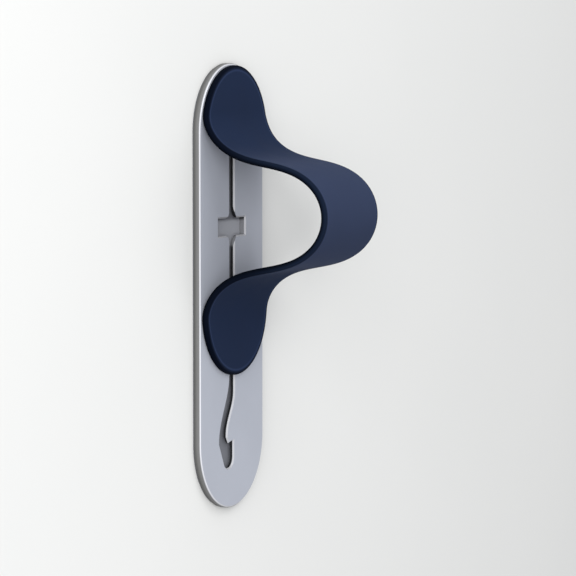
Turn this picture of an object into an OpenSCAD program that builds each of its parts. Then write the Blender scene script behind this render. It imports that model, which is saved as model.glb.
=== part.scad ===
// Phone finger strap: a soft band bowed up from a slotted aluminium base plate.
// The plate lies on its adhesive face, with X across it, +Y towards the end where
// the band is held, and Z up. The origin is the middle of the adhesive face.
// Places along the plate are measured from its upper end, so y = plate_l / 2 - place.
// The swinging part of the slot keeps its distance from the lower end.

/* [Base plate] */
// Length of the plate, end to end
plate_l = 84; // [76:0.5:100]
// Width of the plate, which is also the diameter of its round ends
plate_w = 26; // [24:0.5:34]
// Thickness of the aluminium
plate_t = 1.3; // [1.2:0.05:2]
// Bevel round the top rim
rim_bevel = 0.3; // [0.2:0.05:0.6]
// Bevel round the bottom rim
foot_bevel = 0.15; // [0.05:0.05:0.3]

/* [Adhesive pad] */
// Thickness of the double-sided pad
pad_t = 0.3; // [0.2:0.05:1]
// How far the pad stays inside the plate's edge
pad_inset = 0.25; // [0:0.05:1]

/* [Slot] */
// Width of the straight slit
slit_w = 1.8; // [1.6:0.1:2.4]
// Bevel along the slot's top edge
slot_bevel = 0.28; // [0.1:0.02:0.4]
// Middle of the cross window, from the plate's upper end
window_at = 30.75; // [28:0.25:33]
// Room round a cross bar as it goes in through the window
window_play = 0.25; // [0.15:0.05:0.4]
// How much wider than the slit its mouth is on each side, at the window
mouth_w = 1.5; // [0.8:0.1:2]
// Length over which a mouth narrows from the window to the slit
mouth_l = 2.4; // [1:0.1:3]
// From where the slit's left wall starts to swing aside to the plate's lower end
swing_to_end = 25.5; // [24:0.25:27]
// Sideways swing of the left wall
swing = 4.3; // [3.6:0.1:5]
// Length over which the left wall swings
swing_l = 13; // [12:0.25:14]
// How much wider than the slit the swinging part gets
swing_extra = 1.2; // [0.8:0.1:1.5]
// How much further down the right wall starts to swing than the left one
right_lag = 3.4; // [2.4:0.1:4]
// From the catch's tip to the plate's lower end
catch_to_end = 12.3; // [11.8:0.1:12.8]
// How far the catch's tip reaches out over the pocket
catch_reach = 0.8; // [0.4:0.1:1]
// Rise of the ledge behind the catch's tip
catch_hook = 0.35; // [0:0.05:0.5]
// Length of the pocket below the catch's tip
pocket_l = 4.7; // [4.3:0.1:5.2]
// Radius of the round end of the pocket
pocket_r = 2; // [1.7:0.05:2.2]
// Right side of the pocket, from the slit's middle line
pocket_side = 0.5; // [0.2:0.05:0.6]

/* [Channel under the plate] */
// Depth of the channel in which the cross bars run
channel_d = 0.65; // [0.6:0.05:0.8]
// Play above and below a cross bar
bar_play = 0.1; // [0.05:0.05:0.15]

/* [Cross bars] */
// Length of a cross bar, across the slit
bar_l = 10.5; // [8:0.25:12]
// Width of a cross bar, along the slit
bar_w = 2.8; // [2:0.1:3.2]
// Radius of a cross bar's corners
bar_r = 0.6; // [0.2:0.1:0.9]

/* [Band] */
// Thickness of the band
band_t = 1.2; // [1:0.05:1.6]
// Radius of the band's soft edges
band_edge_r = 0.45; // [0.2:0.05:0.5]
// How far the band stays inside the plate's edge
band_inset = 0.4; // [0.2:0.05:1]
// Length of the band that lies flat at the upper end
upper_flat = 8.6; // [7:0.1:10]
// Length of the band that is bowed up
arch_len = 67.5; // [60:0.1:70]
// Steepest angle of the bowed part, in degrees
arch_angle = 79.3; // [60:0.1:84]
// Share by which the stretched band is narrower at the top of the bow
crown_narrow = 0.09; // [0:0.01:0.12]
// Length of the band that lies flat at the lower end
lower_flat = 10.9; // [10.5:0.1:13]

/* [Necks] */
// Length of a neck, along the slit
neck_l = 3; // [2:0.1:3.2]
// Room between a neck and the slit's walls, each side
neck_play = 0.15; // [0.1:0.05:0.25]
// Middle of the upper neck, from the band's upper end
upper_neck_at = 6.2; // [5:0.1:6.4]
// Middle of the lower neck, from the band's lower end
lower_neck_at = 8.9; // [8:0.1:9.2]
// Bond line between a neck and its cross bar
bond_t = 0.05; // [0.02:0.01:0.08]

/* [Hidden] */

$fn = 64;
// Overshoot of a cutter past the face it cuts, and of the swinging slot into the slit
cut = 0.2;
slit_lap = 1;

plate_r = plate_w / 2;
plate_z = pad_t;
top_z = plate_z + plate_t;

// Window and channel follow the cross bars that pass through them
slit_half = slit_w / 2;
window_w = bar_l + 2 * window_play;
window_h = bar_w + 2 * window_play;
bar_t = channel_d - 2 * bar_play;
bar_z = plate_z + bar_play;
bar_top_z = bar_z + bar_t;

band_r = plate_r - band_inset;
band_steps = 60;
tip_steps = 9;
edge_steps = 3;
// Half of the plate's length that the bowed part spans
arch_half = path_at(arch_len / 2)[0];
band_end = band_inset + upper_flat + 2 * arch_half + lower_flat;

neck_w = slit_w - 2 * neck_play;
upper_neck = band_inset + upper_neck_at;
lower_neck = band_end - lower_neck_at;
slit_start = upper_neck - neck_l / 2 - neck_play;

// The slot's walls swing aside, the right one less and later than the left one,
// and the right one ends in a catch over the pocket
swing_at = plate_l - swing_to_end;
catch_at = plate_l - catch_to_end;
right_swing = swing - swing_extra;
// Straight bit of the right wall between its swing and the catch
right_rest = 0.3;
right_start = swing_at + right_lag;
catch_base = catch_at - swing_extra;
right_end = catch_base - right_rest;
pocket_x = pocket_side - pocket_r;
pocket_at = catch_at + pocket_l - pocket_r;
// Angles round the pocket at which its slanted left side and its bottom begin
slant_angle = 145;
bottom_angles = [80, 100];
wall_steps = 16;
arc_steps = 5;
// Both sides of the swinging part have as many points
slant_steps = 3;

// Places along the plate, from its upper end
function y_at(place) = plate_l / 2 - place;

// Share of a sideways swing reached after the share t of its length
function sway(t) = (1 - cos(180 * t)) / 2;

// Slope of the bowed band, and its path [along, up], a distance s from its foot
function slope_at(s) = arch_angle * sin(360 * s / arch_len);
function path_step(i, steps, s) =
    i >= steps ? [0, 0]
    : let(a = slope_at((i + 0.5) / steps * s), d = s / steps)
      [d * cos(a), d * sin(a)] + path_step(i + 1, steps, s);
function path_at(s) = s <= 0 ? [0, 0] : path_step(0, max(2, ceil(s * 2)), s);

// A point of the band, s along it from its upper end, x across and z through it
function band_point(s, x, z) =
    let(
        u = s - upper_flat,
        on_arch = min(max(u, 0), arch_len),
        p = path_at(on_arch),
        a = slope_at(on_arch),
        across = x * (1 - crown_narrow * sin(180 * on_arch / arch_len)),
        lay = band_inset + min(s, upper_flat) + max(u - arch_len, 0),
        mid = z - band_t / 2
    )
    [across, y_at(lay + p[0] - mid * sin(a)), top_z + p[1] + band_t / 2 + mid * cos(a)];

// Slab with round ends: its half section [out from the middle line, z] is turned
// round both ends and drawn straight between them
module round_slab(len, half_section) {
    r = max([for (p = half_section) p[0]]);
    straight = len / 2 - r;
    for (end = [0, 180])
        rotate([0, 0, end])
            translate([0, straight, 0])
                rotate_extrude(angle = 180)
                    polygon(half_section);
    rotate([90, 0, 0])
        linear_extrude(height = 2 * straight, center = true) {
            polygon(half_section);
            mirror([1, 0]) polygon(half_section);
        }
}

// Prism along Y whose sides open upwards over the last bevel mm of its height
module bevel_prism(w, len, h, bevel) {
    rotate([90, 0, 0])
        linear_extrude(height = len, center = true)
            polygon([
                [-w / 2, -cut], [w / 2, -cut], [w / 2, h - bevel],
                [w / 2 + bevel + cut, h + cut], [-w / 2 - bevel - cut, h + cut], [-w / 2, h - bevel]
            ]);
}

// Straight slit, with the cross window and the mouths between the two
module straight_slot() {
    slit_l = swing_at - slit_start;
    translate([0, y_at(slit_start + slit_l / 2), plate_z])
        bevel_prism(slit_w, slit_l, plate_t, slot_bevel);
    translate([0, y_at(window_at), plate_z]) {
        intersection() {
            bevel_prism(window_w, 2 * window_h, plate_t, slot_bevel);
            rotate([0, 0, 90]) bevel_prism(window_h, 2 * window_w, plate_t, slot_bevel);
        }
        for (end = [-1, 1])
            translate([0, end * (window_h + mouth_l) / 2, -cut])
                linear_extrude(height = plate_t + 2 * cut)
                    difference() {
                        square([slit_w + 2 * mouth_w, mouth_l], center = true);
                        for (side = [-1, 1])
                            translate([side * (slit_half + mouth_w), end * mouth_l / 2])
                                scale([mouth_w, mouth_l]) circle(r = 1);
                    }
    }
}

// Points [x, place] down each side of the swinging part of the slot, g outside its walls
function right_side(g) = concat(
    [[slit_half + g, swing_at - slit_lap]],
    [for (i = [0:wall_steps]) let(t = i / wall_steps)
        [slit_half + g - right_swing * sway(t), right_start + (right_end - right_start) * t]],
    [
        [slit_half + g - right_swing, catch_base],
        [slit_half + g / 2 - right_swing + catch_reach, catch_at - g],
        [pocket_side + g, catch_at - catch_hook - g]
    ],
    pocket_arc(g, 0, bottom_angles[0])
);
function left_side(g) =
    let(
        top = [-slit_half - g - swing, swing_at + swing_l],
        arc = pocket_arc(g, slant_angle, bottom_angles[1])
    )
    concat(
        [[-slit_half - g, swing_at - slit_lap]],
        [for (i = [0:wall_steps]) let(t = i / wall_steps)
            [-slit_half - g - swing * sway(t), swing_at + swing_l * t]],
        [for (i = [1:slant_steps]) top + (arc[0] - top) * i / (slant_steps + 1)],
        arc
    );
function pocket_arc(g, from, to) =
    [for (i = [0:arc_steps]) let(a = from + (to - from) * i / arc_steps)
        [pocket_x + (pocket_r + g) * cos(a), pocket_at + (pocket_r + g) * sin(a)]];

// Cutter for the swinging part: straight walls up to the bevel, which opens to the top
module swinging_slot() {
    layers = [[plate_z - cut, 0], [top_z - slot_bevel, 0], [top_z + cut, slot_bevel + cut]];
    rights = [for (l = layers) [for (p = right_side(l[1])) [p[0], y_at(p[1]), l[0]]]];
    lefts = [for (l = layers) [for (p = left_side(l[1])) [p[0], y_at(p[1]), l[0]]]];
    n = len(rights[0]);
    // Number of the point i on the right or left side of layer k
    function on_r(k, i) = 2 * n * k + i;
    function on_l(k, i) = 2 * n * k + n + i;
    polyhedron(
        points = [for (k = [0:2]) for (p = concat(rights[k], lefts[k])) p],
        faces = concat(
            [for (i = [0:n - 2]) [on_r(0, i), on_l(0, i), on_l(0, i + 1), on_r(0, i + 1)]],
            [for (i = [0:n - 2]) [on_r(2, i), on_r(2, i + 1), on_l(2, i + 1), on_l(2, i)]],
            [for (k = [0, 1]) for (i = [0:n - 2])
                [on_r(k, i), on_r(k, i + 1), on_r(k + 1, i + 1), on_r(k + 1, i)]],
            [for (k = [0, 1]) for (i = [0:n - 2])
                [on_l(k, i), on_l(k + 1, i), on_l(k + 1, i + 1), on_l(k, i + 1)]],
            [for (k = [0, 1]) [on_r(k, 0), on_r(k + 1, 0), on_l(k + 1, 0), on_l(k, 0)]],
            [for (k = [0, 1]) [on_r(k, n - 1), on_l(k, n - 1), on_l(k + 1, n - 1), on_r(k + 1, n - 1)]]
        )
    );
}

// Rectangle with round corners
module round_rect(w, h, r) {
    square([w - 2 * r, h], center = true);
    square([w, h - 2 * r], center = true);
    for (x = [-1, 1], y = [-1, 1])
        translate([x * (w / 2 - r), y * (h / 2 - r)])
            circle(r = r);
}

// Channel for the cross bars, wider to the left where the necks swing aside
module channel() {
    start = slit_start - window_play;
    end = pocket_at + pocket_r + window_play;
    wide_start = swing_at - bar_w / 2;
    shift = swing - slit_half;
    translate([0, 0, plate_z - cut])
        linear_extrude(height = channel_d + cut) {
            translate([0, y_at((start + end) / 2)])
                round_rect(window_w, end - start, bar_r);
            translate([-shift / 2, y_at((wide_start + end) / 2)])
                round_rect(window_w + shift, end - wide_start, bar_r);
        }
}

module base_plate() {
    half_section = [
        [0, 0], [plate_r - foot_bevel, 0], [plate_r, foot_bevel],
        [plate_r, plate_t - rim_bevel], [plate_r - rim_bevel, plate_t], [0, plate_t]
    ];
    color([0.70, 0.71, 0.75])
    difference() {
        translate([0, 0, plate_z]) round_slab(plate_l, half_section);
        straight_slot();
        swinging_slot();
        channel();
    }
}

module adhesive_pad() {
    r = plate_r - pad_inset;
    color([0.36, 0.37, 0.40])
    round_slab(plate_l - 2 * pad_inset, [[0, 0], [r, 0], [r, pad_t], [0, pad_t]]);
}

// One ring of the band's skin: the outline drawn in by inset, at the height z
// through the band, from the upper tip down one side, over the lower tip and back
function band_ring(inset, z) =
    let(
        total = upper_flat + arch_len + lower_flat,
        r = band_r - inset,
        quarter = [for (i = [0:tip_steps]) let(a = 90 * i / tip_steps) [r * cos(a), r * sin(a)]],
        near = concat(
            [for (p = quarter) [band_r - p[0], p[1]]],
            [for (i = [1:band_steps - 1]) [band_r + (total - 2 * band_r) * i / band_steps, r]],
            [for (i = [tip_steps:-1:0]) [total - band_r + quarter[i][0], quarter[i][1]]]
        ),
        n = len(near),
        far = [for (i = [n - 2:-1:1]) [near[i][0], -near[i][1]]]
    )
    [for (p = concat(near, far)) band_point(p[0], p[1], z)];

module band_skin() {
    corner = [for (i = [0:edge_steps]) let(a = 90 * i / edge_steps)
        [band_edge_r * (1 - sin(a)), band_edge_r * (1 - cos(a))]];
    rim = concat(corner, [for (i = [edge_steps:-1:0]) [corner[i][0], band_t - corner[i][1]]]);
    rings = [for (p = rim) band_ring(p[0], p[1])];
    layers = len(rings);
    n = len(rings[0]);
    half = n / 2;
    last = (layers - 1) * n;
    polyhedron(
        points = [for (r = rings) for (p = r) p],
        faces = concat(
            [for (k = [0:layers - 2]) for (i = [0:n - 1])
                let(j = (i + 1) % n) [k * n + i, k * n + j, (k + 1) * n + j, (k + 1) * n + i]],
            [[0, n - 1, 1], [last, last + 1, last + n - 1]],
            [for (i = [1:half - 2]) [i, n - i, n - i - 1, i + 1]],
            [for (i = [1:half - 2]) [last + i, last + i + 1, last + n - i - 1, last + n - i]],
            [[half - 1, half + 1, half], [last + half - 1, last + half, last + half + 1]]
        )
    );
}

// Neck moulded under the band, down to the cross bar below it
module neck(place) {
    root = band_t / 2;
    low = bar_top_z + bond_t;
    translate([-neck_w / 2, y_at(place) - neck_l / 2, low])
        cube([neck_w, neck_l, top_z + root - low]);
}

module strap() {
    color([0.13, 0.17, 0.29])
    union() {
        band_skin();
        neck(upper_neck);
        neck(lower_neck);
    }
}

module cross_bar(place) {
    translate([0, y_at(place), bar_z])
        linear_extrude(height = bar_t)
            round_rect(bar_l, bar_w, bar_r);
}

module fixed_bar() {
    color([0.55, 0.56, 0.58]) cross_bar(upper_neck);
}

module sliding_bar() {
    color([0.55, 0.56, 0.58]) cross_bar(lower_neck);
}

base_plate();
adhesive_pad();
strap();
fixed_bar();
sliding_bar();
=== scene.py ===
# %% [markdown]
# # A finger strap on a slotted plate
# The object is a soft band bowed up from a slim aluminium plate. A thin pad under the plate
# sticks it to a flat back, and the lower end of the band slides along a slot in the plate. The
# solids come from the CAD frame, in metres. This script dresses them: it models the band again
# with soft edges, gives every piece a procedural finish, and sets up the floor, the lights and
# the camera.

# %% Load the frame
import math

import bpy
from mathutils import Matrix, Vector


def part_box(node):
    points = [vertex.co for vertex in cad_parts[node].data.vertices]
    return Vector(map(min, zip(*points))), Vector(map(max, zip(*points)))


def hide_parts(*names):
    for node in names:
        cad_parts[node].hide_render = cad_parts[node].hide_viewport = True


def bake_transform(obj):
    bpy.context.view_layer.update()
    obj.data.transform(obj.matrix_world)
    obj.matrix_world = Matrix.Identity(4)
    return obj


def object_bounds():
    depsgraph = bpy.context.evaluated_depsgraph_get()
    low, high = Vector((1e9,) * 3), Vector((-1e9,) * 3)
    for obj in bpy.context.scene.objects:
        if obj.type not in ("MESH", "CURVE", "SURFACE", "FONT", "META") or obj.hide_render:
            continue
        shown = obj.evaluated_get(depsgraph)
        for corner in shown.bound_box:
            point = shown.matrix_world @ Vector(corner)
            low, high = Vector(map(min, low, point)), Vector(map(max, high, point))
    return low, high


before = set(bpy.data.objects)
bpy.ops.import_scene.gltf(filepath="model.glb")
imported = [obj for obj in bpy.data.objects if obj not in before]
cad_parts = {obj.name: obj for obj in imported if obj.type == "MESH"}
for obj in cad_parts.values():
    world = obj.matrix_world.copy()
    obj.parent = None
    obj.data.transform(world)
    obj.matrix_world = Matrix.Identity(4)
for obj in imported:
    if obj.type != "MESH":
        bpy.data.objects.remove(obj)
cad_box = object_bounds()
MM = 0.001
print("nodes:", sorted(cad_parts))

# %% [markdown]
# ## Scene colours
# A product picture should show each colour about as it was written. The Standard view does
# that, while Filmic or AgX would grey the navy band. Colours are written as the eye sees them,
# from 0 to 255, and turned into the linear values that the shaders want.

# %% Colour helper
bpy.context.scene.view_settings.view_transform = "Standard"


def linear(red, green, blue):
    """A colour written from 0 to 255, as the linear values of a shader."""

    def one(c):
        c = c / 255
        return c / 12.92 if c <= 0.04045 else ((c + 0.055) / 1.055) ** 2.4

    return (one(red), one(green), one(blue), 1.0)


print("navy in linear values:", [round(c, 3) for c in linear(37, 48, 75)])

# %% [markdown]
# ## Selecting in code
# By hand, faces are picked with the mouse. A script picks them by a rule instead, such as
# "all vertices beyond this line". One helper does that for vertices, edges and faces alike.

# %% Selection helper
SELECT_MODES = {"vertices": "VERT", "edges": "EDGE", "polygons": "FACE"}


def select_in_mesh(obj, kind, wanted):
    """Leaves only those vertices, edges or faces selected for which wanted() is true."""
    bpy.ops.object.mode_set(mode="OBJECT")
    mesh = obj.data
    for parts in (mesh.vertices, mesh.edges, mesh.polygons):
        parts.foreach_set("select", [False] * len(parts))
    for part in getattr(mesh, kind):
        part.select = wanted(part)
    bpy.ops.object.mode_set(mode="EDIT")
    bpy.ops.mesh.select_mode(type=SELECT_MODES[kind])


print("can select:", sorted(SELECT_MODES))

# %% [markdown]
# ## Flat blank of the band
# The real band is one piece of soft elastomer with two round ends. It could be drawn already
# bent, but it is easier to shape it flat, as a mould maker would, and to bend it afterwards.
# A round disc is added and one half of it is moved away, which leaves the straight middle
# between two half discs. The blank lies along X, because a Curve modifier that bends along X
# keeps Z as the upper side.

# %% Add the disc and stretch it
BAND_R = 12.6 * MM
BAND_T = 1.2 * MM
UPPER_FLAT = 8.6 * MM
ARCH_LEN = 67.5 * MM
LOWER_FLAT = 10.9 * MM
BAND_LEN = UPPER_FLAT + ARCH_LEN + LOWER_FLAT
# With a quarter turn, this number leaves no corner on the line where the disc parts
DISC_CORNERS = 130

bpy.ops.object.select_all(action="DESELECT")
bpy.ops.mesh.primitive_cylinder_add(
    vertices=DISC_CORNERS,
    radius=BAND_R,
    depth=BAND_T,
    location=(BAND_R, 0, 0),
    rotation=(0, 0, math.radians(90)),
)
band = bpy.context.object
band.name = "band"
bpy.ops.object.transform_apply(location=True, rotation=True, scale=True)
select_in_mesh(band, "vertices", lambda v: v.co.x > BAND_R)
bpy.ops.transform.translate(value=(BAND_LEN - 2 * BAND_R, 0, 0))
bpy.ops.object.mode_set(mode="OBJECT")
print("flat blank, mm:", [round(d / MM, 2) for d in band.dimensions])

# %% [markdown]
# ## Soft rim
# A moulded band has no sharp edge. The rims of both faces are rounded with a bevel, and a
# narrow inset just inside them keeps the broad faces flat when the shading is smoothed.

# %% Bevel and inset
EDGE_R = 0.45 * MM
RIM_INSET = 0.25 * MM
# In square metres. Only the two broad faces are larger than this
BROAD_FACE = 1e-4

bpy.ops.object.mode_set(mode="EDIT")
bpy.ops.mesh.select_mode(type="EDGE")
bpy.ops.mesh.select_all(action="DESELECT")
bpy.ops.mesh.edges_select_sharp(sharpness=math.radians(60))
bpy.ops.mesh.bevel(offset=EDGE_R, segments=5, profile=0.5, affect="EDGES")
select_in_mesh(
    band, "polygons", lambda f: abs(f.normal.z) > 0.99 and f.area > BROAD_FACE
)
bpy.ops.mesh.inset(thickness=RIM_INSET)
bpy.ops.object.mode_set(mode="OBJECT")
print("faces after the rim:", len(band.data.polygons))

# %% [markdown]
# ## Rows to bend at
# A face can't bend, so the blank is cut into narrow rows across its length. Bisect does this
# exactly at the places that are given.

# %% Cut the rows
ROW = 0.8 * MM
rows = round(BAND_LEN / ROW)
bpy.ops.object.mode_set(mode="EDIT")
for i in range(1, rows):
    bpy.ops.mesh.select_all(action="SELECT")
    bpy.ops.mesh.bisect(plane_co=(BAND_LEN * i / rows, 0, 0), plane_no=(1, 0, 0))
bpy.ops.object.mode_set(mode="OBJECT")
print("rows:", rows, "faces:", len(band.data.polygons))

# %% [markdown]
# ## Remember the flat shape
# The grain of the elastomer follows the surface when the band bends. Each vertex therefore
# keeps its place on the flat blank, across, along and through it, as an attribute, and the
# material reads that attribute in place of the bent position.

# %% Store the flat place
flat_place = band.data.attributes.new("flat_place", "FLOAT_VECTOR", "POINT")
for v in band.data.vertices:
    flat_place.data[v.index].vector = (v.co.y, v.co.x, v.co.z)
flat_along = [v.co.x for v in band.data.vertices]
print("stored places:", len(flat_along))

# %% [markdown]
# ## Path of the bow
# The band leaves the plate flat, rises steeply, goes over the finger and comes down the same
# way. Its slope is a sine wave along its own length, so the bend has no kink anywhere and the
# band keeps its length. The path is summed up in small steps from the lower end.

# %% Work out the path
TOP_Z = 1.6 * MM
ARCH_ANGLE = math.radians(79.3)
STEP = 0.1 * MM


def slope_at(s):
    """Slope of the band at the distance s from its lower end."""
    u = s - LOWER_FLAT
    return ARCH_ANGLE * math.sin(2 * math.pi * u / ARCH_LEN) if 0 < u < ARCH_LEN else 0.0


def band_path(step):
    """Points (0, y, z) on the middle line of the bent band, from its lower end."""
    y, z = 0.0, TOP_Z + BAND_T / 2
    points = [(0.0, y, z)]
    for i in range(round(BAND_LEN / step)):
        a = slope_at((i + 0.5) * step)
        y, z = y + step * math.cos(a), z + step * math.sin(a)
        points.append((0.0, y, z))
    return points


path = band_path(STEP)
start_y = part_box("strap")[1].y - path[-1][1]
print("the bow takes the band to", round(path[-1][1] / MM, 1), "mm along the plate")

# %% [markdown]
# ## Bend the band
# The path becomes a curve, and a Curve modifier lays the blank along it. The modifier is
# applied and the curve removed, so that the bent shape stays in the mesh alone.

# %% Bend along the path
curve = bpy.data.curves.new("band_path", "CURVE")
curve.dimensions = "3D"
spline = curve.splines.new("POLY")
spline.points.add(len(path) - 1)
for point, (x, y, z) in zip(spline.points, path):
    point.co = (x, y + start_y, z, 1)
guide = bpy.data.objects.new("band_path", curve)
bpy.context.collection.objects.link(guide)
bend = band.modifiers.new("bend", "CURVE")
bend.object = guide
bend.deform_axis = "POS_X"
bpy.context.view_layer.objects.active = band
bpy.ops.object.modifier_apply(modifier="bend")
bpy.data.objects.remove(guide)
print("bent band, vertices:", len(band.data.vertices))

# %% [markdown]
# ## Narrower bow
# A soft band gets narrower where it is stretched, and this one most at the top of the bow. The
# flat places that were stored before tell how far along the bow a vertex is. The bounds of the
# bent band are printed; it has to match the CAD solid.

# %% Narrow the bow and print its bounds
CROWN_NARROW = 0.09
for v in band.data.vertices:
    share = (flat_along[v.index] - LOWER_FLAT) / ARCH_LEN
    if 0 < share < 1:
        v.co.x *= 1 - CROWN_NARROW * math.sin(math.pi * share)
low = Vector(map(min, *[v.co for v in band.data.vertices]))
high = Vector(map(max, *[v.co for v in band.data.vertices]))
print("bent band, mm:", [round(c / MM, 2) for c in (*low, *high)])

# %% [markdown]
# ## Necks under the band
# Two short necks are moulded under the band and go down through the slot to the cross bars.
# They hardly show, but without them the band would only lie on the plate. Each one is a small
# block with soft corners.

# %% Add the necks
NECK_W = 1.5 * MM
NECK_L = 3.0 * MM
NECK_EDGE_R = 0.2 * MM
NECK_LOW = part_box("strap")[0].z
NECK_TOP = TOP_Z + BAND_T / 2
UPPER_NECK_AT = 6.2 * MM
LOWER_NECK_AT = 8.9 * MM
upper_neck_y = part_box("strap")[1].y - UPPER_NECK_AT
lower_neck_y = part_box("strap")[0].y + LOWER_NECK_AT

necks = []
for y in (upper_neck_y, lower_neck_y):
    bpy.ops.object.select_all(action="DESELECT")
    bpy.ops.mesh.primitive_cube_add(
        size=1,
        location=(0, y, (NECK_LOW + NECK_TOP) / 2),
        scale=(NECK_W, NECK_L, NECK_TOP - NECK_LOW),
    )
    neck = bpy.context.object
    bpy.ops.object.transform_apply(location=True, rotation=True, scale=True)
    bpy.ops.object.mode_set(mode="EDIT")
    bpy.ops.mesh.select_all(action="SELECT")
    bpy.ops.mesh.bevel(offset=NECK_EDGE_R, segments=3, affect="EDGES")
    bpy.ops.object.mode_set(mode="OBJECT")
    place = neck.data.attributes.new("flat_place", "FLOAT_VECTOR", "POINT")
    for v in neck.data.vertices:
        place.data[v.index].vector = v.co
    necks.append(neck)
print("necks at y, mm:", [round(y / MM, 1) for y in (upper_neck_y, lower_neck_y)])

# %% [markdown]
# ## One moulded piece
# The necks are joined to the band, because on the real object they come out of one mould. The
# shading is smoothed up to an angle, so that the soft rim looks round.

# %% Join and smooth
bpy.ops.object.select_all(action="DESELECT")
for piece in [*necks, band]:
    piece.select_set(True)
bpy.context.view_layer.objects.active = band
bpy.ops.object.join()
bpy.ops.object.shade_smooth_by_angle(angle=math.radians(35))
print("band with necks:", len(band.data.polygons), "faces")

# %% [markdown]
# ## Building node trees
# A material is a tree of nodes, and wiring it line by line soon hides what it does. A few
# helpers keep it short: one feeds an input with a value or with another node, one adds a node
# with its inputs, and one starts a node group, which is a set of nodes that several materials
# can share.

# %% Node helpers
FLOAT, VECTOR = "NodeSocketFloat", "NodeSocketVector"


def feed(tree, socket, value):
    """Links the socket to the value where that is a socket too, or else sets it."""
    if isinstance(value, bpy.types.NodeSocket):
        tree.links.new(value, socket)
    else:
        socket.default_value = value


def add(tree, kind, inputs=None, **settings):
    """A new node with its settings, and with its inputs fed by name or number."""
    node = tree.nodes.new(kind)
    for key, value in settings.items():
        setattr(node, key, value)
    for key, value in (inputs or {}).items():
        feed(tree, node.inputs[key], value)
    return node


def math_node(tree, operation, a, b=0.0):
    return add(tree, "ShaderNodeMath", {0: a, 1: b}, operation=operation).outputs[0]


def axis_of(tree, vector, axis):
    """One of the numbers X, Y and Z of a vector."""
    return add(tree, "ShaderNodeSeparateXYZ", {0: vector}).outputs[axis]


def new_group(name, inputs, outputs):
    """A shader node group whose sockets are given as name: type."""
    group = bpy.data.node_groups.new(name, "ShaderNodeTree")
    for in_out, sockets in (("INPUT", inputs), ("OUTPUT", outputs)):
        for socket_name, kind in sockets.items():
            group.interface.new_socket(socket_name, in_out=in_out, socket_type=kind)
    return group


print("sockets used in groups:", FLOAT, VECTOR)

# %% [markdown]
# ## Distance from the edge
# The plate and the band are both a stadium, a strip with two round ends. Their finish changes
# near the edge, so both materials need to know how far a point is from it. A node group works
# that out: the point is pulled to the nearest place on the strip's middle line, which runs
# from Low to High along Y, and its distance from there is taken from the radius.

# %% Node group for the edge distance
edge_group = new_group(
    "distance_from_edge",
    {"Place": VECTOR, "Low": FLOAT, "High": FLOAT, "Radius": FLOAT},
    {"Distance": FLOAT},
)
inside = add(edge_group, "NodeGroupInput").outputs
across = axis_of(edge_group, inside["Place"], "X")
along = axis_of(edge_group, inside["Place"], "Y")
above_low = math_node(edge_group, "MAXIMUM", along, inside["Low"])
nearest = math_node(edge_group, "MINIMUM", above_low, inside["High"])
past_end = math_node(edge_group, "SUBTRACT", along, nearest)
squares = math_node(
    edge_group,
    "ADD",
    math_node(edge_group, "MULTIPLY", across, across),
    math_node(edge_group, "MULTIPLY", past_end, past_end),
)
from_middle = math_node(edge_group, "SQRT", squares)
distance = math_node(edge_group, "SUBTRACT", inside["Radius"], from_middle)
add(edge_group, "NodeGroupOutput", {"Distance": distance})
print("group:", edge_group.name)

# %% [markdown]
# ## Fine grain
# No real surface is perfectly even. Anodised metal is slightly grainy from blasting, elastomer
# copies the fine texture of its mould, and foam tape is porous. One group makes such a grain
# from two sizes of noise. It gives a height for a Bump node and a value for small changes of
# colour or gloss. Each material says how fine both are, in repeats per metre.

# %% Node group for the grain
grain_group = new_group(
    "fine_grain",
    {"Place": VECTOR, "Grain": FLOAT, "Cloud": FLOAT},
    {"Height": FLOAT, "Cloud": FLOAT},
)
inside = add(grain_group, "NodeGroupInput").outputs
noises = {
    "Height": {"Scale": inside["Grain"], "Detail": 3.0, "Roughness": 0.6},
    "Cloud": {"Scale": inside["Cloud"], "Detail": 4.0, "Roughness": 0.55},
}
patterns = {
    name: add(
        grain_group, "ShaderNodeTexNoise", {"Vector": inside["Place"], **noise}
    ).outputs["Fac"]
    for name, noise in noises.items()
}
add(grain_group, "NodeGroupOutput", patterns)
print("group:", grain_group.name)

# %% [markdown]
# ## Parts of a finish
# Every material here is put together from the same few parts: a Principled shader whose
# constant values are set on the shader itself, a shared group, a mix of two colours, a smooth
# fade from one value to another, a value that a pattern makes uneven, and a fine relief. Each
# gets a helper with a plain name.

# %% Material helpers
# Nearly all of a noise pattern lies between these values
PATTERN_SPREAD = (0.3, 0.7)


def new_material(name, **constants):
    """A material with a Principled shader, whose constant inputs are set by name."""
    made = bpy.data.materials.new(name)
    made.use_nodes = True
    shader = made.node_tree.nodes["Principled BSDF"]
    for key, value in constants.items():
        shader.inputs[key.replace("_", " ")].default_value = value
    return made, made.node_tree, shader


def use_group(tree, group, **inputs):
    """The outputs of a group, with its inputs fed by name."""
    return add(tree, "ShaderNodeGroup", inputs, node_tree=group).outputs


def mix_colour(tree, factor, first, second):
    """Goes from the first colour to the second as the factor goes from 0 to 1."""
    inputs = {0: factor, 6: first, 7: second}
    return add(tree, "ShaderNodeMix", inputs, data_type="RGBA").outputs[2]


def fade(tree, value, start, end, low=0.0, high=1.0):
    """Goes smoothly from low to high as the value goes from start to end."""
    inputs = {
        "Value": value, "From Min": start, "From Max": end, "To Min": low, "To Max": high
    }
    return add(
        tree, "ShaderNodeMapRange", inputs, interpolation_type="SMOOTHSTEP"
    ).outputs["Result"]


def uneven(tree, pattern, low, high):
    """Wanders between low and high with a noise pattern."""
    return fade(tree, pattern, *PATTERN_SPREAD, low, high)


def relief(tree, height, depth):
    """A normal with the height as relief, depth deep."""
    inputs = {"Height": height, "Distance": depth}
    return add(tree, "ShaderNodeBump", inputs).outputs["Normal"]


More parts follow.
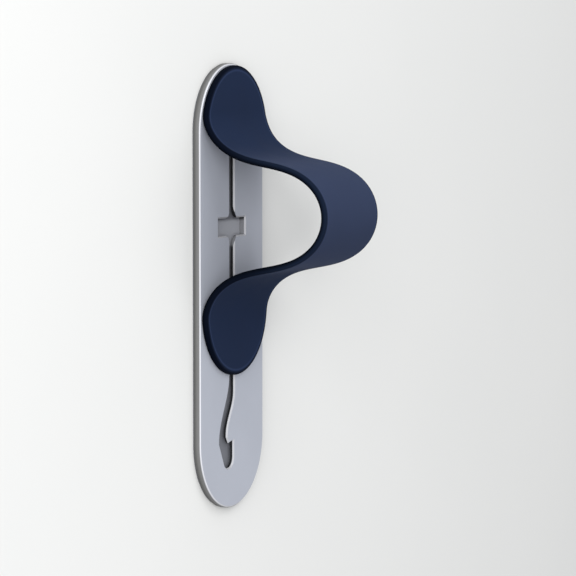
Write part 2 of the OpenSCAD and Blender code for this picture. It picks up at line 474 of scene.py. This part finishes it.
def finish(tree, shader, colour, roughness, normal):
    """Links what changes over the surface to the shader."""
    feed(tree, shader.inputs["Base Color"], colour)
    feed(tree, shader.inputs["Roughness"], roughness)
    feed(tree, shader.inputs["Normal"], normal)


print("helpers for materials are ready")

# %% [markdown]
# ## Elastomer of the band
# The band is a soft-touch elastomer in navy. It is matt, with hardly any sheen, so sheen and
# specular level are low and the same all over, and are set on the shader itself. The upper part
# of the bow, between the two steep arms, is painted paler: a painted highlight that stands in
# for the light falling on the crown.

# %% Navy of the band
# Where the painted highlight on the bow begins and ends, as shares of the bow from the lower
# end
PALER_FROM = (0.16, 0.36)
PALER_TO = (0.68, 0.9)

elastomer, tree, shader = new_material(
    "navy_elastomer",
    IOR=1.4,
    Specular_IOR_Level=0.03,
    Sheen_Weight=0.01,
    Sheen_Roughness=0.4,
    Sheen_Tint=linear(150, 170, 210),
)
place = add(tree, "ShaderNodeAttribute", attribute_name="flat_place").outputs["Vector"]
along = axis_of(tree, place, "Y")
paler_from = [LOWER_FLAT + share * ARCH_LEN for share in PALER_FROM]
paler_to = [LOWER_FLAT + share * ARCH_LEN for share in PALER_TO]
# Mask of the painted highlight on the upper bow, where the crown catches the light
painted_bow_light = math_node(
    tree,
    "MULTIPLY",
    fade(tree, along, *paler_from),
    fade(tree, along, *paler_to, 1.0, 0.0),
)
skin = use_group(tree, grain_group, Place=place, Grain=4500.0, Cloud=110.0)
plain_navy = mix_colour(tree, skin["Cloud"], linear(28, 38, 60), linear(33, 44, 68))
paler = mix_colour(tree, skin["Cloud"], linear(46, 55, 78), linear(53, 62, 86))
faces = mix_colour(tree, painted_bow_light, plain_navy, paler)
print("paler from", [round(s / MM, 1) for s in (*paler_from, *paler_to)], "mm")

# %% [markdown]
# ## Rim of the band
# The side wall is painted a good deal darker than the faces, as shade, and darkest at its foot
# as a painted contact shadow. Like the faces it is a little paler on the upper bow, with the
# painted highlight there. The painted shade fades softly from the rim into the face, and a fine
# pale line runs just inside it, a painted highlight along the edge. All of this follows places
# on the flat blank, so it stays with the rim however the band bends.

# %% Rim, gloss and grain of the band
# Over this distance from the edge the painted shade of the rim fades into the face
RIM_SHADE = (0.15 * MM, 1.1 * MM)
WALL_HEIGHTS = (-0.5 * MM, 0.5 * MM)
LINE_STARTS = (0.7 * MM, 0.9 * MM)
LINE_ENDS = (1.0 * MM, 1.3 * MM)
LINE_STRENGTH = 0.3
BAND_ROUGHNESS = (0.72, 0.82)
MOULD_GRAIN = 0.012 * MM

from_edge = use_group(
    tree, edge_group, Place=place, Low=BAND_R, High=BAND_LEN - BAND_R, Radius=BAND_R
)["Distance"]
# The side wall is painted shade, darkest at its foot as a painted contact shadow
wall_height = fade(tree, axis_of(tree, place, "Z"), *WALL_HEIGHTS)
painted_foot_shadow = linear(1, 3, 9)
painted_wall_shade = mix_colour(tree, painted_bow_light, linear(4, 8, 19), linear(15, 23, 38))
shaded_side_wall = mix_colour(tree, wall_height, painted_foot_shadow, painted_wall_shade)
rim = mix_colour(tree, fade(tree, from_edge, *RIM_SHADE), shaded_side_wall, faces)
# A fine pale line just inside the rim, a painted highlight along the edge
line = math_node(
    tree,
    "MULTIPLY",
    fade(tree, from_edge, *LINE_STARTS),
    fade(tree, from_edge, *LINE_ENDS, LINE_STRENGTH, 0.0),
)
painted_edge_highlight = linear(58, 72, 106)
finish(
    tree,
    shader,
    colour=mix_colour(tree, line, rim, painted_edge_highlight),
    roughness=uneven(tree, skin["Cloud"], *BAND_ROUGHNESS),
    normal=relief(tree, skin["Height"], MOULD_GRAIN),
)
band.data.materials.clear()
band.data.materials.append(elastomer)
print("material:", elastomer.name)

# %% [markdown]
# ## Zones of the plate
# The CAD plate already has the right shape, with its bevels, slot, window and catch, so it
# stays and only gets its finish. Its zones are told apart by three things: the direction of a
# face tells the top, the bevels and the walls, the distance from the edge tells the outer wall
# from those of the slot, and the height tells the foot of a wall from its top. The walls round
# the window and its lower mouth catch light that those of the narrow slit don't, so that place
# gets a mask of its own, which the pad below uses too.

# %% Masks of the plate
PLATE_R = 13.0 * MM
PLATE_HALF = 29.0 * MM
WINDOW_Y = 10.0 * MM
WINDOW_HALF = 2.1 * MM
WINDOW_FADE = 0.7 * MM
INNER_FROM = (0.5 * MM, 1.0 * MM)
# The upward part of a face's direction, which is 1 on a level face and 0 on an upright one
LEVEL_FROM = (0.9, 0.98)
UPRIGHT_UP_TO = (0.1, 0.4)


def near_window(tree, place):
    """Is 1 at the slot's window and its lower mouth, and 0 away from them."""
    off = math_node(tree, "SUBTRACT", axis_of(tree, place, "Y"), WINDOW_Y)
    off = math_node(tree, "ABSOLUTE", off)
    return fade(tree, off, WINDOW_HALF, WINDOW_HALF + WINDOW_FADE, 1.0, 0.0)


def inside_plate(tree, place):
    """Is 0 at the plate's outline and 1 further in."""
    from_edge = use_group(
        tree, edge_group, Place=place, Low=-PLATE_HALF, High=PLATE_HALF, Radius=PLATE_R
    )["Distance"]
    return fade(tree, from_edge, *INNER_FROM)


aluminium, tree, shader = new_material(
    "satin_aluminium", Metallic=0.15, Specular_IOR_Level=0.3
)
place = add(tree, "ShaderNodeTexCoord").outputs["Object"]
normal = add(tree, "ShaderNodeNewGeometry").outputs["True Normal"]
upward = axis_of(tree, normal, "Z")
height = axis_of(tree, place, "Z")
flatness = fade(tree, upward, *LEVEL_FROM)
wall = fade(tree, math_node(tree, "ABSOLUTE", upward), *UPRIGHT_UP_TO, 1.0, 0.0)
inner = inside_plate(tree, place)
print("the window's mask reaches", round((WINDOW_HALF + WINDOW_FADE) / MM, 1), "mm")

# %% [markdown]
# ## Anodised aluminium of the plate
# The top face is blasted and anodised to a satin silver. The bevels were cut after that and
# are brighter and smoother; those inside the slot are painted dimmer, as shade. The outer wall
# is painted darker than the top, as shade, and darker still towards its foot. The walls inside
# the slot are painted near black, as shade, and lighter round the window, as painted light.
# Much of the light on satin metal is scattered in its anodised skin, so it is only slightly
# metallic here.

# %% Colour and gloss of the plate
SIDE_FADE = (0.3 * MM, 1.2 * MM)
RIM_FADE = (1.33 * MM, 1.5 * MM)
BEVEL_ROUGHNESS = 0.35
TOP_ROUGHNESS = 0.7
WALLS_ROUGHER_BY = 0.25
MOTTLED_BY = 0.03
BLAST_GRAIN = 0.002 * MM

skin = use_group(tree, grain_group, Place=place, Grain=9000.0, Cloud=60.0)
satin = mix_colour(tree, skin["Cloud"], linear(169, 173, 183), linear(181, 185, 195))
window = near_window(tree, place)
# Walls in the slot are painted near black as shade, and lighter round the window as painted
# light
painted_slot_wall_shade = mix_colour(tree, window, linear(16, 17, 20), linear(108, 109, 113))
# The outer wall is painted darker than the top as shade, and darker still towards its foot
upper_side = fade(tree, height, *SIDE_FADE)
side = mix_colour(tree, upper_side, linear(72, 72, 70), linear(102, 102, 102))
walls = mix_colour(tree, inner, side, painted_slot_wall_shade)
# Bevels in the slot are painted dimmer than those of the outer rim, as shade
cut_metal = mix_colour(tree, inner, linear(198, 199, 204), linear(172, 173, 177))
bright = math_node(tree, "MAXIMUM", inner, fade(tree, height, *RIM_FADE))
bevels = mix_colour(tree, bright, side, cut_metal)
upper_faces = mix_colour(tree, flatness, bevels, satin)
by_face = fade(tree, flatness, 0.0, 1.0, BEVEL_ROUGHNESS, TOP_ROUGHNESS)
mottled = uneven(tree, skin["Cloud"], -MOTTLED_BY, MOTTLED_BY)
on_walls = fade(tree, wall, 0.0, 1.0, 0.0, WALLS_ROUGHER_BY)
finish(
    tree,
    shader,
    colour=mix_colour(tree, wall, upper_faces, walls),
    roughness=math_node(tree, "ADD", math_node(tree, "ADD", by_face, mottled), on_walls),
    normal=relief(tree, skin["Height"], BLAST_GRAIN),
)
print("material:", aluminium.name)

# %% [markdown]
# ## Foam tape of the pad
# The pad is a thin double-sided foam tape. It shows as a dark line under the plate and as the
# floor of the window and of the slot's end. Its edge is painted darker than its top, as shade
# under the plate. The floor under the narrow slot is painted darker, as shade, than that of
# the open window, which is lighter as painted light. Foam is porous, so its grain is deeper
# than that of the metal and it has no gloss.

# %% Material of the pad
FOAM_ROUGHNESS = (0.8, 0.95)
FOAM_GRAIN = 0.03 * MM

tape, tree, shader = new_material("foam_tape", Specular_IOR_Level=0.2)
place = add(tree, "ShaderNodeTexCoord").outputs["Object"]
skin = use_group(tree, grain_group, Place=place, Grain=3000.0, Cloud=200.0)
# The floor under the narrow slot is painted darker as shade, the window's lighter as painted
# light
shaded_slot_floor = mix_colour(tree, skin["Cloud"], linear(112, 114, 121), linear(126, 128, 134))
lit_window_floor = mix_colour(tree, skin["Cloud"], linear(164, 166, 173), linear(175, 177, 183))
seen_floor = mix_colour(tree, near_window(tree, place), shaded_slot_floor, lit_window_floor)
# The pad's edge under the plate is painted darker than its top, as shade
shaded_pad_edge = linear(84, 85, 88)
finish(
    tree,
    shader,
    colour=mix_colour(tree, inside_plate(tree, place), shaded_pad_edge, seen_floor),
    roughness=uneven(tree, skin["Cloud"], *FOAM_ROUGHNESS),
    normal=relief(tree, skin["Height"], FOAM_GRAIN),
)
print("material:", tape.name)

# %% [markdown]
# ## Brushed steel of the cross bars
# The cross bars are stamped from steel strip and lie out of sight in the channel. Strip is
# brushed along its length, so the grain is drawn out along X by a Mapping node.

# %% Material of the bars
BRUSH_DRAWN_OUT = (0.05, 1.0, 1.0)
STEEL_ROUGHNESS = (0.28, 0.42)
BRUSH_GRAIN = 0.004 * MM

steel, tree, shader = new_material("brushed_steel", Metallic=1.0)
place = add(tree, "ShaderNodeTexCoord").outputs["Object"]
drawn_out = add(
    tree, "ShaderNodeMapping", {"Vector": place, "Scale": BRUSH_DRAWN_OUT}
).outputs["Vector"]
skin = use_group(tree, grain_group, Place=drawn_out, Grain=9000.0, Cloud=300.0)
finish(
    tree,
    shader,
    colour=mix_colour(tree, skin["Height"], linear(150, 151, 153), linear(186, 187, 189)),
    roughness=uneven(tree, skin["Height"], *STEEL_ROUGHNESS),
    normal=relief(tree, skin["Height"], BRUSH_GRAIN),
)
print("material:", steel.name)

# %% [markdown]
# ## Finish the CAD pieces
# The plate, the pad and the bars are shown as they come from the CAD frame. Their meshes stay
# as they are, and each only gets its material.

# %% Give the materials to the CAD pieces
for node_name, material in (
    ("base_plate", aluminium),
    ("adhesive_pad", tape),
    ("fixed_bar", steel),
    ("sliding_bar", steel),
):
    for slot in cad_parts[node_name].material_slots:
        slot.material = material
    print(node_name, "is finished in", material.name)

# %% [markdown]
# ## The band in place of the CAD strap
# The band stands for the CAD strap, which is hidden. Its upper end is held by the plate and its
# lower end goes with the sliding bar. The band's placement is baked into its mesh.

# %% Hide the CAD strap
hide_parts("strap")
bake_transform(band)

# %% [markdown]
# ## Floor
# The strap lies on a plain pale surface, which takes its soft shadow. A large plane does for
# that; it isn't part of the object.

# %% Add the floor
FLOOR_SIZE = 6

bpy.ops.object.select_all(action="DESELECT")
bpy.ops.mesh.primitive_plane_add(size=FLOOR_SIZE, location=(0, 0, 0))
floor = bpy.context.object
floor.name = "floor"
paper, tree, shader = new_material("pale_paper", Roughness=0.9, Specular_IOR_Level=0.1)
place = add(tree, "ShaderNodeTexCoord").outputs["Object"]
skin = use_group(tree, grain_group, Place=place, Grain=2500.0, Cloud=8.0)
paper_colour = mix_colour(tree, skin["Cloud"], linear(226, 227, 225), linear(232, 232, 230))
feed(tree, shader.inputs["Base Color"], paper_colour)
floor.data.materials.append(paper)
print("floor:", [round(d, 2) for d in floor.dimensions], "m")

# %% [markdown]
# ## Camera
# The picture is taken from the side of the plate, about 27 degrees above the surface, with the
# camera rolled so that the plate stands upright in the picture. The rotation is built from the
# direction of view and from the plate's own +Y, which has to point up. The lens follows from
# the distance and from how much of the picture's height the object should fill.

# %% Add the camera
TARGET = (Vector(cad_box[0]) + Vector(cad_box[1])) / 2
CAMERA_AT = Vector((-450, 33, 233.5)) * MM
IMAGE_SIDE = 576
OBJECT_SHARE = 0.78
SENSOR = 36

bpy.ops.object.camera_add(location=CAMERA_AT)
camera = bpy.context.object
forward = (TARGET - CAMERA_AT).normalized()
right = forward.cross(Vector((0, 1, 0))).normalized()
up = right.cross(forward)
camera.rotation_euler = Matrix((right, up, -forward)).transposed().to_euler()
camera_distance = (TARGET - CAMERA_AT).length
object_length = cad_box[1].y - cad_box[0].y
camera.data.sensor_width = SENSOR
camera.data.lens = SENSOR * OBJECT_SHARE * camera_distance / object_length
camera.data.clip_start = 0.01
bpy.context.scene.camera = camera
print("lens, mm:", round(camera.data.lens, 1))
print("height in the picture, px:", round(OBJECT_SHARE * IMAGE_SIDE))

# %% [markdown]
# ## Soft panels
# A small lamp would draw hard shadows and glare on satin metal, so the light comes from broad
# panels. One stands low beyond the upper end and models the bow, whose upper arm it lights
# while the lower one stays darker. A larger one stands further off on the side from which the
# picture is taken, low enough that its light goes in under the bow and reaches the plate there.
# The panels themselves are hidden from the camera.

# %% Add the panels


def panel(name, location, size, power):
    """A square soft light of so many watts, aimed at the origin."""
    bpy.ops.object.light_add(type="AREA", location=location)
    made = bpy.context.object
    made.name = name
    made.data.shape = "SQUARE"
    made.data.size = size
    made.data.energy = power
    made.rotation_euler = (-Vector(location)).to_track_quat("-Z", "Y").to_euler()
    made.visible_camera = False
    return made


panels = [
    panel("key_panel", (-0.1, 0.5, 0.3), size=0.5, power=1.3),
    panel("near_panel", (-0.84, 0.12, 0.36), size=0.7, power=10.8),
]
print("panels, W:", {p.name: round(p.data.energy, 1) for p in panels})

# %% [markdown]
# ## Even sky
# The rest of the light comes evenly from all round, as under a studio tent. The backdrop should
# look almost white without more light falling on the object, so the sky is made stronger only
# for rays that come from the camera or from a reflection.

# %% Add the sky
SKY_LIGHT = 0.58
BACKDROP_EXTRA = 0.35

world = bpy.data.worlds.new("even_sky")
bpy.context.scene.world = world
world.use_nodes = True
tree = world.node_tree
tree.nodes.clear()
rays = add(tree, "ShaderNodeLightPath").outputs
seen = math_node(tree, "MAXIMUM", rays["Is Camera Ray"], rays["Is Glossy Ray"])
extra = math_node(tree, "MULTIPLY", seen, BACKDROP_EXTRA)
sky = add(
    tree,
    "ShaderNodeBackground",
    {"Color": linear(246, 247, 250), "Strength": math_node(tree, "ADD", SKY_LIGHT, extra)},
)
add(tree, "ShaderNodeOutputWorld", {"Surface": sky.outputs["Background"]})
print("sky:", SKY_LIGHT, "on the object,", SKY_LIGHT + BACKDROP_EXTRA, "to the camera")
